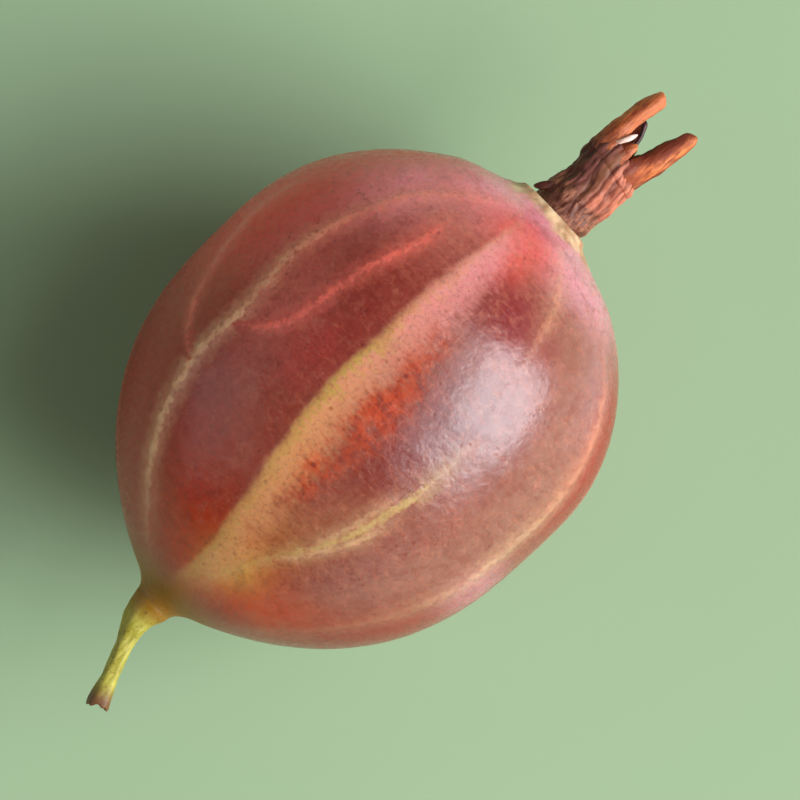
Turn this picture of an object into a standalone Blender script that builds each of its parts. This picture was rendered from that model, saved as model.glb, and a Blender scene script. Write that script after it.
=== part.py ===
"""A ripe red gooseberry as picked: the veined berry, its short bent stalk and the dried flower that
is still on it. It lies on a small flat spot on the surface z = 0.

The berry's long axis runs along X, with the stalk towards -X and the flower towards +X. The origin
is at the centre of the flat spot. Lengths are in metres. Azimuths go round the long axis in degrees,
from 0 at the top, through 90 at -Y, to 180 at the underside.
"""

import math

import bmesh
import bpy
from mathutils import Matrix, Vector

MM = 0.001

# The berry, without its neck and collar, measured along its axis from its middle
HALF_LENGTH = 11.0 * MM
RADIUS = 8.88 * MM
WIDEST_X = 1.9 * MM
REST_SINK = 0.2 * MM
AXIS_HEIGHT = RADIUS - REST_SINK
SPOT_X = 1.0 * MM

# The skin's rounding towards each end: 1 - distance ** power, raised to a bluntness
STALK_SIDE = (2.9, 0.77)
FLOWER_SIDE = (2.2, 0.6)

# The neck round the stalk's root and the collar round the flower's foot
GAP = 0.1 * MM
STALK_ROOT_RADIUS = 0.58 * MM
STALK_ROOT_DEPTH = 1.2 * MM
NECK_LENGTH = 0.35 * MM
NECK_LIP = 0.15 * MM
TUBE_ROOT_RADIUS = 1.25 * MM
TUBE_ROOT_DEPTH = 0.6 * MM
TUBE_ROOT_GAP = 0.17 * MM
COLLAR_X = 10.88 * MM
COLLAR_LIP = 0.24 * MM
COLLAR_SHIFT = 0.2 * MM
COLLAR_SHIFT_RUN = (8.5 * MM, 10.7 * MM)
FLOWER_PIVOT_X = COLLAR_X + 0.07 * MM
FLOWER_LEAN = 7.7

# The berry's net: rings along it, and columns that follow the veins
BODY_RINGS = 30
BODY_START_X = -10.5 * MM
BODY_END_X = 9.6 * MM
SPOUT_RINGS = 5
COLUMN_STEP = 7.5
LEAST_COLUMN_STEP = 0.8
WIDEST_VEIN = 5.0
RIDGE_HEIGHT = 0.11 * MM
RIDGE_RISE = (1.7 * MM, 4.5 * MM)
BRANCH_RIDGE_HEIGHT = 0.08 * MM
LEAST_BRANCH_SPREAD = 4.2

# Each vein: its azimuth at points along the berry (0 at the stalk, 1 at the flower), its half width,
# and its branches as (where it leaves, spread in degrees, how soon it spreads, where it ends)
VEINS = (
    (((0, -152), (0.5, -161), (1, -148)), 0.24 * MM, ()),
    (((0, -112), (0.4, -123), (1, -110)), 0.26 * MM, ((0.42, 15, 0.08, 0.84),)),
    (((0, -66), (0.3, -87), (0.7, -89), (1, -60)), 0.24 * MM, ()),
    (
        ((0, -28), (0.1, -39), (0.2, -45), (0.62, -45.6), (0.78, -41.7), (0.87, -37.7), (1, -14)),
        0.22 * MM,
        ((0.34, -27, 0.085, 0.84), (0.455, 18.5, 0.055, 0.88)),
    ),
    (((0, 14), (0.12, 8), (0.19, 4), (0.28, -1), (0.4, -4.2), (0.6, -5.5), (1, -8)), 0.66 * MM, ()),
    (
        ((0, 4), (0.16, 13), (0.25, 19.4), (0.35, 24.6), (0.52, 27.5), (0.8, 23.2), (0.9, 22.4), (1, 8)),
        0.32 * MM,
        (),
    ),
    (((0, 46), (0.17, 54.7), (0.37, 63), (0.5, 66.5), (0.75, 64), (0.85, 61.5), (1, 40)), 0.3 * MM, ()),
    (((0, 92), (0.5, 104), (1, 90)), 0.26 * MM, ((0.38, -15, 0.09, 0.8),)),
    (((0, 126), (0.5, 134), (1, 124)), 0.26 * MM, ((0.25, 15, 0.07, 0.72),)),
    (((0, 156), (0.5, 166), (1, 154)), 0.24 * MM, ()),
)

# The stalk, from the neck's mouth
STALK_LENGTH = 4.5 * MM
STALK_TURN = 21.6
STALK_DROOP = 13.0
STALK_BEND_LENGTH = 1.4 * MM
STALK_WAIST = 0.34 * MM
STALK_TIP_RADIUS = 0.46 * MM
STALK_RIBS = 5
STALK_COLUMNS = 20
STALK_RINGS = 26

# The dried flower, measured along its own axis from its pivot in the collar
TUBE_MOUTH = 2.95 * MM
TUBE_FLOOR = 1.3 * MM
TUBE_FOLDS = 10
TUBE_COLUMNS = 60
FOLD_DEPTH = 0.11 * MM
RIM_RADIUS = 1.16 * MM
RIM_THICKNESS = 0.27 * MM
RIM_X = TUBE_MOUTH + GAP + RIM_THICKNESS
LOBE_THICKNESS = 0.62 * MM
LOBE_CURL = 0.3 * MM
LOBE_COLUMNS = 14
LOBE_RINGS = 15

# Each sepal: azimuth, how far it reaches, how far out its tip stands, its width at the root
LOBES = (
    (-62, 6.15 * MM, 1.42 * MM, 1.4 * MM),
    (-8, 4.4 * MM, 1.3 * MM, 1.3 * MM),
    (52, 6.2 * MM, 0.95 * MM, 1.6 * MM),
    (124, 5.7 * MM, 1.5 * MM, 1.4 * MM),
    (208, 5.3 * MM, 1.58 * MM, 1.4 * MM),
)

# What is left of the flower inside the tube. Each stamen: how far it reaches, how far out its tip
# stands; and each petal: how far it reaches
BUTTON_RADIUS = 0.72 * MM
BUTTON_X = TUBE_FLOOR + GAP + 0.35 * MM
FILAMENT_RADIUS = 0.15 * MM
ANTHER_RADIUS = 0.21 * MM
STAMENS = (
    (3.9 * MM, 0.4 * MM),
    (3.7 * MM, 0.4 * MM),
    (3.85 * MM, 0.4 * MM),
    (4.0 * MM, 0.4 * MM),
    (4.85 * MM, 0.62 * MM),
)
PETAL_RADIUS = 0.3 * MM
PETALS = (3.8 * MM, 3.7 * MM, 3.8 * MM, 4.3 * MM, 3.9 * MM)
STYLE_RADIUS = 0.2 * MM
STYLE_REACH = 4.0 * MM


def ease(low, high, value):
    """0 below low, 1 above high and a smooth rise between them."""
    share = min(1.0, max(0.0, (value - low) / (high - low)))
    return share * share * (3 - 2 * share)


def blend(low, high, share):
    return low + (high - low) * share


def along(points, place):
    """A smooth curve's height at a place, through (place, height) points."""
    count = len(points)
    after = next((i for i in range(1, count) if points[i][0] >= place), count - 1)
    before = after - 1
    slopes = []
    for i in (before, after):
        first, last = points[max(i - 1, 0)], points[min(i + 1, count - 1)]
        slopes.append((last[1] - first[1]) / (last[0] - first[0]))
    span = points[after][0] - points[before][0]
    share = (place - points[before][0]) / span
    bend = ease(0, 1, share)
    leave = share * (1 - share) ** 2 * span * slopes[0]
    arrive = share * share * (share - 1) * span * slopes[1]
    return blend(points[before][1], points[after][1], bend) + leave + arrive


def polar(x, radius, azimuth):
    """The point at a distance from the long axis, at an azimuth in degrees."""
    angle = math.radians(azimuth)
    return Vector((x, -radius * math.sin(angle), radius * math.cos(angle)))


def material(name, colour, roughness):
    made = bpy.data.materials.new(name)
    made.use_nodes = True
    shader = made.node_tree.nodes["Principled BSDF"]
    shader.inputs["Base Color"].default_value = (*colour, 1.0)
    shader.inputs["Roughness"].default_value = roughness
    shader.inputs["Metallic"].default_value = 0.0
    return made


def write_outward(net, mesh):
    """Writes a closed net to a mesh with its faces pointing out, and frees it."""
    bmesh.ops.recalc_face_normals(net, faces=net.faces)
    if net.calc_volume(signed=True) < 0:
        bmesh.ops.reverse_faces(net, faces=net.faces)
    net.to_mesh(mesh)
    net.free()


def ringed_mesh(name, columns, rings, place):
    """A closed mesh: a ball's net whose points are put where place(ring, column) says.

    Rings 0 and `rings` are the two end points, and column counts go once round.
    """
    mesh = bpy.data.meshes.new(name)
    net = bmesh.new()
    bmesh.ops.create_uvsphere(net, u_segments=columns, v_segments=rings, radius=1.0)
    for point in net.verts:
        ring = round(math.acos(max(-1.0, min(1.0, point.co.z))) * rings / math.pi)
        turn = math.atan2(point.co.y, point.co.x) / math.tau
        column = 0 if ring in (0, rings) else round(turn * columns) % columns
        point.co = place(ring, column)
    write_outward(net, mesh)
    return mesh


def finished(name, mesh, look, collection, location=(0, 0, 0), parent=None):
    """The named object of a mesh, shaded as a round piece."""
    mesh.name = name
    mesh.shade_smooth()
    mesh.set_sharp_from_angle(angle=math.radians(50))
    mesh.materials.append(look)
    made = bpy.data.objects.new(name, mesh)
    made.location = location
    made.parent = parent
    collection.objects.link(made)
    return made


def united(mesh, others, scene):
    """One mesh of a base mesh and the meshes that grow from it."""
    joined = bpy.data.collections.new("grown")
    scene.collection.children.link(joined)
    base = bpy.data.objects.new("base", mesh)
    scene.collection.objects.link(base)
    for other in others:
        joined.objects.link(bpy.data.objects.new("grown", other))
    union = base.modifiers.new("union", "BOOLEAN")
    union.operation = "UNION"
    union.operand_type = "COLLECTION"
    union.collection = joined
    union.solver = "MANIFOLD"
    result = bpy.data.meshes.new_from_object(base.evaluated_get(bpy.context.evaluated_depsgraph_get()))
    for helper in (base, *joined.objects):
        bpy.data.objects.remove(helper)
    bpy.data.collections.remove(joined)
    fill_hollows(result)
    return result


def fill_hollows(mesh):
    """Keeps a mesh's outer skin and drops the skins of hollows sealed inside it."""
    net = bmesh.new()
    net.from_mesh(mesh)
    unseen = set(net.verts)
    skins = []
    while unseen:
        reached = [unseen.pop()]
        for point in reached:
            near = {edge.other_vert(point) for edge in point.link_edges} & unseen
            unseen -= near
            reached += near
        skins.append(reached)
    skins.sort(key=lambda skin: max(point.co.length for point in skin))
    for skin in skins[:-1]:
        bmesh.ops.delete(net, geom=skin, context="VERTS")
    write_outward(net, mesh)


def skin_radius(x):
    """The berry's radius at a place along its axis."""
    power, bluntness = FLOWER_SIDE if x > WIDEST_X else STALK_SIDE
    reach = math.copysign(HALF_LENGTH, x - WIDEST_X) - WIDEST_X
    return RADIUS * (1 - ((x - WIDEST_X) / reach) ** power) ** bluntness


def spout(start_x, end_x, lip_radius, socket_radius, floor_x):
    """(x, radius) of the rings from the skin, drawn in to a lip at end_x, to a round socket's floor."""
    start_radius = skin_radius(start_x)
    back = math.copysign(0.1 * MM, start_x)
    slope = (start_radius - skin_radius(start_x - back)) / back
    rings = []
    for ring in range(1, SPOUT_RINGS + 1):
        share = ring / (SPOUT_RINGS + 1)
        leave = share * (1 - share) ** 2 * slope * (end_x - start_x)
        radius = blend(start_radius, lip_radius, ease(0, 1, share)) + leave
        rings.append((blend(start_x, end_x, share), radius))
    return rings + [
        (end_x - back, lip_radius),
        (end_x - 0.2 * back, blend(socket_radius, lip_radius, 0.75)),
        (end_x, blend(socket_radius, lip_radius, 0.4)),
        (end_x - 0.3 * back, socket_radius),
        (floor_x, socket_radius),
        (floor_x, 0),
    ]


def berry_profile():
    """(x, radius) of each ring, from the floor of the stalk's socket to that of the flower's."""
    neck = -HALF_LENGTH - NECK_LENGTH
    stalk_socket = STALK_ROOT_RADIUS + GAP
    stalk_floor = neck + STALK_ROOT_DEPTH + 2 * GAP
    stalk_end = spout(BODY_START_X, neck, stalk_socket + NECK_LIP, stalk_socket, stalk_floor)
    tube_socket = TUBE_ROOT_RADIUS + TUBE_ROOT_GAP
    tube_floor = FLOWER_PIVOT_X - TUBE_ROOT_DEPTH - 3 * GAP
    flower_end = spout(BODY_END_X, COLLAR_X, tube_socket + COLLAR_LIP, tube_socket, tube_floor)
    first, last = math.asin(BODY_START_X / HALF_LENGTH), math.asin(BODY_END_X / HALF_LENGTH)
    body = []
    for ring in range(BODY_RINGS):
        x = math.sin(blend(first, last, ring / (BODY_RINGS - 1))) * HALF_LENGTH
        body.append((x, skin_radius(x)))
    return stalk_end[::-1] + body + flower_end


def vein_tracks(place):
    """(azimuth, half width, ridge height) of every vein and branch at a place, in order round the berry."""
    tracks = []
    for points, half_width, branches in VEINS:
        azimuth = along(points, place)
        group = [(azimuth, half_width, RIDGE_HEIGHT)]
        for leaves, spread, soon, ends in branches:
            opened = 1 - math.exp(-max(0.0, place - leaves) / soon)
            opened *= 1 - ease(ends - 0.1, 1, place)
            away = math.copysign(max(abs(spread) * opened, LEAST_BRANCH_SPREAD), spread)
            strength = ease(leaves - 0.01, leaves + 0.03, place) * (1 - ease(ends - 0.12, ends, place))
            group.append((azimuth + away, 0.9 * half_width, strength * BRANCH_RIDGE_HEIGHT))
        tracks += sorted(group)
    return tracks


def net_columns(place, radius, between):
    """(azimuth, ridge height) of the berry's columns at a place, where its radius is known."""
    tracks = []
    for azimuth, half_width, height in vein_tracks(place):
        half = min(math.degrees(half_width / radius), WIDEST_VEIN)
        tracks.append((azimuth - half, azimuth, azimuth + half, height))
    columns = []
    for i, (low, middle, high, height) in enumerate(tracks):
        columns += [(low, 0.0), (middle, height), (high, 0.0)]
        follows = tracks[i + 1][0] if i + 1 < len(tracks) else tracks[0][0] + 360
        for step in range(1, between[i] + 1):
            columns.append((blend(high, follows, step / (between[i] + 1)), 0.0))
    kept = [columns[0]]
    for azimuth, height in columns[1:]:
        kept.append((max(azimuth, kept[-1][0] + LEAST_COLUMN_STEP), height))
    return kept


def columns_between():
    """How many plain columns fill the room after each vein."""
    azimuths = [track[0] for track in vein_tracks(0.5)]
    rooms = [b - a for a, b in zip(azimuths, azimuths[1:] + [azimuths[0] + 360])]
    return [max(1, round(room / COLUMN_STEP) - 1) for room in rooms]


def make_berry(collection):
    profile = berry_profile()
    between = columns_between()
    nets = []
    for x, radius in profile:
        place = min(1.0, max(0.0, (x / HALF_LENGTH + 1) / 2))
        nets.append(net_columns(place, max(radius, MM), between))

    def place_point(ring, column):
        x, radius = profile[ring]
        azimuth, ridge = nets[ring][column]
        shift = Vector((0, COLLAR_SHIFT * ease(*COLLAR_SHIFT_RUN, x), 0))
        return polar(x, radius + ridge * ease(*RIDGE_RISE, radius), azimuth) + shift

    mesh = ringed_mesh("berry", len(nets[0]), len(profile) - 1, place_point)
    net = bmesh.new()
    net.from_mesh(mesh)
    bmesh.ops.bisect_plane(
        net,
        geom=net.verts[:] + net.edges[:] + net.faces[:],
        dist=0.001 * MM,
        plane_co=(0, 0, -AXIS_HEIGHT),
        plane_no=(0, 0, -1),
        clear_outer=True,
    )
    rim = [edge for edge in net.edges if edge.is_boundary]
    bmesh.ops.holes_fill(net, edges=rim, sides=0)
    write_outward(net, mesh)
    look = material("berry_skin", (0.36, 0.075, 0.05), 0.3)
    return finished("berry", mesh, look, collection, location=(-SPOT_X, 0, AXIS_HEIGHT))


def stalk_line(count):
    """(point, direction) at even steps from the root's end to the tip, with the neck's mouth at 0."""
    whole = STALK_ROOT_DEPTH + STALK_LENGTH
    step = whole / (count - 1)
    point = Vector((STALK_ROOT_DEPTH, 0, 0))
    line = []
    for i in range(count):
        out = i * step - STALK_ROOT_DEPTH
        turn = math.radians(STALK_TURN) * ease(-0.2 * MM, STALK_BEND_LENGTH, out)
        droop = math.radians(STALK_DROOP) * ease(0, STALK_LENGTH, out)
        direction = Vector((-math.cos(turn) * math.cos(droop), -math.sin(turn), -math.sin(droop)))
        line.append((point.copy(), direction.normalized(), out))
        point += direction.normalized() * step
    return line


def stalk_radius(out):
    """The stalk's radius at a distance out of the neck, negative inside it."""
    flare = blend(STALK_ROOT_RADIUS, STALK_WAIST, ease(0.1 * MM, 1.9 * MM, out))
    swollen = (STALK_TIP_RADIUS - STALK_WAIST) * ease(STALK_LENGTH - 1.3 * MM, STALK_LENGTH, out)
    return flare + swollen


def make_stalk(collection):
    line = stalk_line(STALK_RINGS - 1)

    def place_point(ring, column):
        point, direction, out = line[min(max(ring - 1, 0), STALK_RINGS - 2)]
        if ring in (0, STALK_RINGS):
            return point + direction * (0.08 * MM if ring else 0.0)
        side = direction.cross(Vector((0, 0, 1))).normalized()
        above = side.cross(direction)
        angle = math.tau * column / STALK_COLUMNS
        ribs = 0.05 * math.cos(STALK_RIBS * angle) * ease(0, 0.8 * MM, out)
        torn = 0.12 * math.sin(2 * angle + 1) * ease(STALK_LENGTH - 0.6 * MM, STALK_LENGTH, out)
        radius = stalk_radius(out) * (1 + ribs)
        around = side * math.cos(angle) + above * math.sin(angle)
        return point + around * radius + direction * torn * MM

    mesh = ringed_mesh("stalk", STALK_COLUMNS, STALK_RINGS, place_point)
    look = material("stalk_green", (0.3, 0.26, 0.05), 0.55)
    mouth = (-HALF_LENGTH - NECK_LENGTH - SPOT_X, 0, AXIS_HEIGHT)
    return finished("stalk", mesh, look, collection, location=mouth)


def tube_profile():
    """(x, radius, share of the folds' depth) of each ring, from the root over the lip to the floor."""
    return (
        (-TUBE_ROOT_DEPTH, 0, 0),
        (-TUBE_ROOT_DEPTH, TUBE_ROOT_RADIUS - 0.06 * MM, 0),
        (-TUBE_ROOT_DEPTH + 0.1 * MM, TUBE_ROOT_RADIUS, 0),
        (0.3 * MM, TUBE_ROOT_RADIUS, 0.1),
        (0.42 * MM, 1.36 * MM, 0.7),
        (0.65 * MM, 1.4 * MM, 1),
        (1.0 * MM, 1.33 * MM, 1),
        (1.4 * MM, 1.25 * MM, 0.9),
        (1.8 * MM, 1.2 * MM, 0.9),
        (2.2 * MM, 1.22 * MM, 0.9),
        (2.55 * MM, 1.32 * MM, 0.8),
        (TUBE_MOUTH - 0.06 * MM, 1.42 * MM, 0.6),
        (TUBE_MOUTH, 1.34 * MM, 0.5),
        (TUBE_MOUTH - 0.02 * MM, 1.08 * MM, 0.4),
        (TUBE_MOUTH - 0.25 * MM, 0.95 * MM, 0.4),
        (TUBE_FLOOR + 0.4 * MM, 0.9 * MM, 0.3),
        (TUBE_FLOOR, 0.86 * MM, 0.1),
        (TUBE_FLOOR, 0, 0),
    )


def make_calyx_tube(collection, flower_end):
    profile = tube_profile()

    def place_point(ring, column):
        x, radius, share = profile[ring]
        azimuth = 360 * column / TUBE_COLUMNS
        wander = 14 * math.sin(math.radians(2 * azimuth)) + 9 * x / MM
        fold = math.cos(math.radians(TUBE_FOLDS * azimuth + wander * 2))
        return polar(x, radius + FOLD_DEPTH * share * fold if radius else 0, azimuth)

    mesh = ringed_mesh("calyx_tube", TUBE_COLUMNS, len(profile) - 1, place_point)
    look = material("tube_brown", (0.12, 0.05, 0.03), 0.8)
    return finished("calyx_tube", mesh, look, collection, parent=flower_end)


def lobe_mesh(azimuth, reach, tip_out, root_width):
    """One dried sepal: a strap with rolled edges and a rounded tip."""
    outward = polar(0, 1, azimuth)
    sideways = polar(0, 1, azimuth + 90)
    start = RIM_X - 0.12 * MM

    def place_point(ring, column):
        share = (1 - math.cos(math.pi * ring / LOBE_RINGS)) / 2
        x = blend(start, reach, share)
        out = blend(RIM_RADIUS, tip_out, share) + 0.12 * MM * math.sin(math.pi * share)
        taper = blend(root_width, 0.72 * root_width, ease(0.0, 0.6, share)) / 2
        closing = math.sqrt(max(0.0, 1 - (abs(2 * share - 1)) ** 6))
        angle = math.tau * column / LOBE_COLUMNS
        across = math.cos(angle) * taper * closing
        raised = math.sin(angle) * LOBE_THICKNESS / 2 * closing
        rolled = LOBE_CURL * math.cos(angle) ** 2 * closing
        return Vector((x, 0, 0)) + outward * (out + raised - rolled) + sideways * across

    return ringed_mesh("lobe", LOBE_COLUMNS, LOBE_RINGS, place_point)


def rim_mesh():
    """The ring at the tube's mouth that the sepals grow from."""
    ring = bpy.data.meshes.new("rim")
    net = bmesh.new()
    segments, sides = 40, 8
    bmesh.ops.create_circle(net, segments=sides, radius=RIM_THICKNESS)
    bmesh.ops.rotate(net, verts=net.verts, matrix=Matrix.Rotation(math.pi / 2, 3, "X"))
    bmesh.ops.translate(net, verts=net.verts, vec=(RIM_RADIUS, 0, 0))
    bmesh.ops.spin(
        net,
        geom=net.verts[:] + net.edges[:],
        cent=(0, 0, 0),
        axis=(0, 0, 1),
        angle=math.tau,
        steps=segments,
        use_merge=True,
    )
    bmesh.ops.rotate(net, verts=net.verts, matrix=Matrix.Rotation(math.pi / 2, 3, "Y"))
    bmesh.ops.translate(net, verts=net.verts, vec=(RIM_X, 0, 0))
    write_outward(net, ring)
    return ring


def make_sepals(scene, collection, flower_end):
    mesh = united(rim_mesh(), [lobe_mesh(*lobe) for lobe in LOBES], scene)
    look = material("sepal_brown", (0.42, 0.14, 0.05), 0.6)
    return finished("sepals", mesh, look, collection, parent=flower_end)


def strand_mesh(points, radius, tip_radius, columns=8):
    """A thin round strand through points, with an end that may be thicker."""
    rings = 3 * len(points)
    path = [(index / (len(points) - 1), point) for index, point in enumerate(points)]

    def centre(share):
        return Vector([along([(place, point[axis]) for place, point in path], share) for axis in range(3)])

    def place_point(ring, column):
        share = ring / rings
        point = centre(share)
        direction = (centre(min(1, share + 0.02)) - centre(max(0, share - 0.02))).normalized()
        side = direction.cross(Vector((0, 0, 1))).normalized()
        above = side.cross(direction)
        width = blend(radius, tip_radius, ease(0.7, 0.88, share)) * math.sqrt(1 - abs(2 * share - 1) ** 8)
        angle = math.tau * column / columns
        return point + (side * math.cos(angle) + above * math.sin(angle)) * width

    return ringed_mesh("strand", columns, rings, place_point)


def make_flower_heart(scene, collection, flower_end):
    def button_point(ring, column):
        tilt = math.pi * ring / 8
        x = BUTTON_X - 0.35 * MM * math.cos(tilt)
        return polar(x, BUTTON_RADIUS * math.sin(tilt), 360 * column / 16)

    root = BUTTON_X - 0.05 * MM
    strands = []
    for part, ((reach, tip_out), petal_reach) in enumerate(zip(STAMENS, PETALS)):
        azimuth = 36 + 72 * part
        filament = [
            polar(root, 0.4 * MM, azimuth),
            polar(blend(root, reach, 0.5), 0.46 * MM, azimuth + 6),
            polar(reach, tip_out, azimuth - 14 * (-1) ** part),
        ]
        strands.append(strand_mesh(filament, FILAMENT_RADIUS, ANTHER_RADIUS))
        petal = [
            polar(root, 0.36 * MM, azimuth + 36),
            polar(blend(root, petal_reach, 0.5), 0.42 * MM, azimuth + 36),
            polar(petal_reach, 0.34 * MM, azimuth + 30),
        ]
        strands.append(strand_mesh(petal, PETAL_RADIUS, 0.7 * PETAL_RADIUS))
    for side in (-1, 1):
        style = [
            Vector((root, 0, 0.03 * MM * side)),
            Vector((blend(root, STYLE_REACH, 0.6), 0.04 * MM * side, 0.03 * MM)),
            Vector((STYLE_REACH, 0.32 * MM * side, 0.12 * MM * side)),
        ]
        strands.append(strand_mesh(style, STYLE_RADIUS, 0.8 * STYLE_RADIUS))
    button = ringed_mesh("button", 16, 8, button_point)
    mesh = united(button, strands, scene)
    look = material("heart_brown", (0.3, 0.13, 0.06), 0.7)
    return finished("flower_heart", mesh, look, collection, parent=flower_end)


def main():
    for left in list(bpy.data.objects):
        bpy.data.objects.remove(left)
    scene = bpy.context.scene
    collection = bpy.data.collections.new("gooseberry")
    scene.collection.children.link(collection)
    flower_end = bpy.data.objects.new("flower_end", None)
    flower_end.location = (FLOWER_PIVOT_X - SPOT_X, COLLAR_SHIFT, AXIS_HEIGHT)
    flower_end.rotation_euler = (0, 0, math.radians(-FLOWER_LEAN))
    collection.objects.link(flower_end)
    make_berry(collection)
    make_stalk(collection)
    make_calyx_tube(collection, flower_end)
    make_sepals(scene, collection, flower_end)
    make_flower_heart(scene, collection, flower_end)


main()
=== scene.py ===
"""Looks of a ripe red gooseberry that lies on a pale green surface, seen from straight above.

Every piece stands for one part of the fixed frame and keeps its place. Lengths are in metres.
Azimuths go round the berry's long axis in degrees, from 0 at the top, through 90 at -Y, to 180 at
the underside. A place is a share of the way from the stalk's end (0) to the flower's end (1).
"""

import math

import bpy
import numpy as np
from mathutils import Matrix, Vector, noise


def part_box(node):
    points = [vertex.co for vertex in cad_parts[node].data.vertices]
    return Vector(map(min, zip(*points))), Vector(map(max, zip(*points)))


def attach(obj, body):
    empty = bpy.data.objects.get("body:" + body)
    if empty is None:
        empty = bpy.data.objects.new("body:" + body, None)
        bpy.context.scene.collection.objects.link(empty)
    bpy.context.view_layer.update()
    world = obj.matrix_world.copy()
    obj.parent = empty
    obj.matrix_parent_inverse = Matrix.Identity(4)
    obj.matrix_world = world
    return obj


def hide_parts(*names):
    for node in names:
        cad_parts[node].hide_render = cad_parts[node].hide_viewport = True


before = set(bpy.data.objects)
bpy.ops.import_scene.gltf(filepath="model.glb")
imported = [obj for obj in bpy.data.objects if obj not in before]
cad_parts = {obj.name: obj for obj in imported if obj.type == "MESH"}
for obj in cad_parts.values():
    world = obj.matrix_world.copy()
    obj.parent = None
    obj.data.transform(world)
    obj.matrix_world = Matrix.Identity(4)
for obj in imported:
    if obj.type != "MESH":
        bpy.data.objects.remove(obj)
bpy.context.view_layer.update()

MM = 0.001
scene = bpy.context.scene

# The berry, measured along its axis from its middle
HALF_LENGTH = 11.0 * MM
RADIUS = 8.88 * MM
WIDEST_X = 1.9 * MM
REST_SINK = 0.2 * MM
AXIS_HEIGHT = RADIUS - REST_SINK
STALK_SIDE = (2.9, 0.77)
FLOWER_SIDE = (2.2, 0.6)
BODY_START_X = -10.5 * MM
BODY_END_X = 9.6 * MM

# The neck round the stalk's root and the collar round the flower's foot
NECK_X = -11.35 * MM
NECK_RADIUS = 0.83 * MM
NECK_SOCKET = 0.68 * MM
NECK_FLOOR_X = NECK_X + 1.4 * MM
COLLAR_X = 10.88 * MM
COLLAR_RADIUS = 1.66 * MM
COLLAR_SOCKET = 1.3 * MM
COLLAR_FLOOR_X = 10.05 * MM
COLLAR_SHIFT = 0.2 * MM
COLLAR_SHIFT_RUN = (8.5 * MM, 10.7 * MM)

# The skin's net and relief. A lumpy relief is (height, size of a lump), and a run is (start, end).
SKIN_COLUMNS = 420
BODY_RINGS = 138
SPOUT_RINGS = 16
RIDGE_HEIGHT = 0.03 * MM
BRANCH_RIDGE_HEIGHT = 0.02 * MM
RIDGE_RISE = (1.7 * MM, 4.5 * MM)
SWELL = (0.04 * MM, 5 * MM)
DIMPLES = (0.006 * MM, 0.7 * MM)
COLLAR_LUMPS = (0.13 * MM, 0.5 * MM)
COLLAR_LUMPS_RUN = (10.1 * MM, 10.6 * MM)
CREAM_HEM = (0.3 * MM, 0.8 * MM)
CREAM_RUN = (10.2 * MM, 10.55 * MM)

# Each vein: its azimuth at places along the berry, half width in mm, strength at places, tint (from
# -1 for yellow-green through 0 for cream to 1 for pink), and branches as (where it leaves, spread in
# degrees, how soon it spreads, where it ends, strength)
FAR_FROM_VEIN = 4.0
VEIN_WANDER = 0.8
VEIN_RISES, VEIN_ENDS = (0.02, 0.1), (0.9, 0.99)
BRANCH_PINKER = 0.6
BRANCH_THINNER = 0.8
PINK_FLOWERWARD = (0.9, 0.72)
FLOWERWARD = (0.35, 0.85)
FAINT_AT_ENDS = ((0, 0.2), (0.15, 0.5), (0.8, 0.6), (1, 0.3))
VEINS = (
    (((0, -152), (0.5, -161), (1, -148)), 0.24, FAINT_AT_ENDS, 0.2, ()),
    (
        ((0, -112), (0.4, -123), (1, -110)), 0.26, FAINT_AT_ENDS, 0.3,
        ((0.42, 15, 0.08, 0.84, 0.45),),
    ),
    (((0, -66), (0.3, -87), (0.7, -89), (1, -60)), 0.24, ((0, 0.1), (0.3, 0.3), (1, 0.3)), 0.5, ()),
    (
        (
            (0, -28), (0.1, -37), (0.2, -42.3), (0.36, -43.4), (0.46, -41.6), (0.54, -42.6),
            (0.62, -43), (0.78, -39.6), (0.87, -36), (1, -14),
        ),
        0.27,
        ((0, 0.1), (0.08, 0.3), (0.17, 0.85), (0.3, 1.0), (0.65, 1.0), (0.85, 0.6), (1, 0.2)),
        0.38,
        ((0.34, -28, 0.095, 0.76, 0.9), (0.44, 17.5, 0.055, 0.88, 0.95)),
    ),
    (
        (
            (0, 4), (0.16, 13), (0.25, 19.4), (0.35, 24.6), (0.52, 27.5), (0.8, 23.2), (0.9, 22.4),
            (1, 8),
        ),
        0.22,
        (
            (0, 0), (0.12, 0.1), (0.2, 0.5), (0.46, 0.66), (0.56, 0.2), (0.62, 0), (0.74, 0),
            (0.82, 0.3), (1, 0.2),
        ),
        -1.0,
        ((0.2, 2.6, 0.05, 0.46, 0.42), (0.26, -2.5, 0.04, 0.5, 0.34)),
    ),
    (
        ((0, 46), (0.17, 54), (0.37, 62.2), (0.5, 65.4), (0.75, 63.6), (0.85, 61), (1, 40)),
        0.36,
        ((0, 0), (0.12, 0.05), (0.3, 0.15), (0.5, 0.36), (0.8, 0.36), (0.9, 0.08), (1, 0)),
        -0.1,
        (),
    ),
    (((0, 92), (0.5, 104), (1, 90)), 0.26, FAINT_AT_ENDS, 0.4, ((0.38, -15, 0.09, 0.8, 0.45),)),
    (((0, 126), (0.5, 134), (1, 124)), 0.26, FAINT_AT_ENDS, 0.2, ((0.25, 15, 0.07, 0.72, 0.45),)),
    (((0, 156), (0.5, 166), (1, 154)), 0.24, FAINT_AT_ENDS, 0.3, ()),
)

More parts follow.
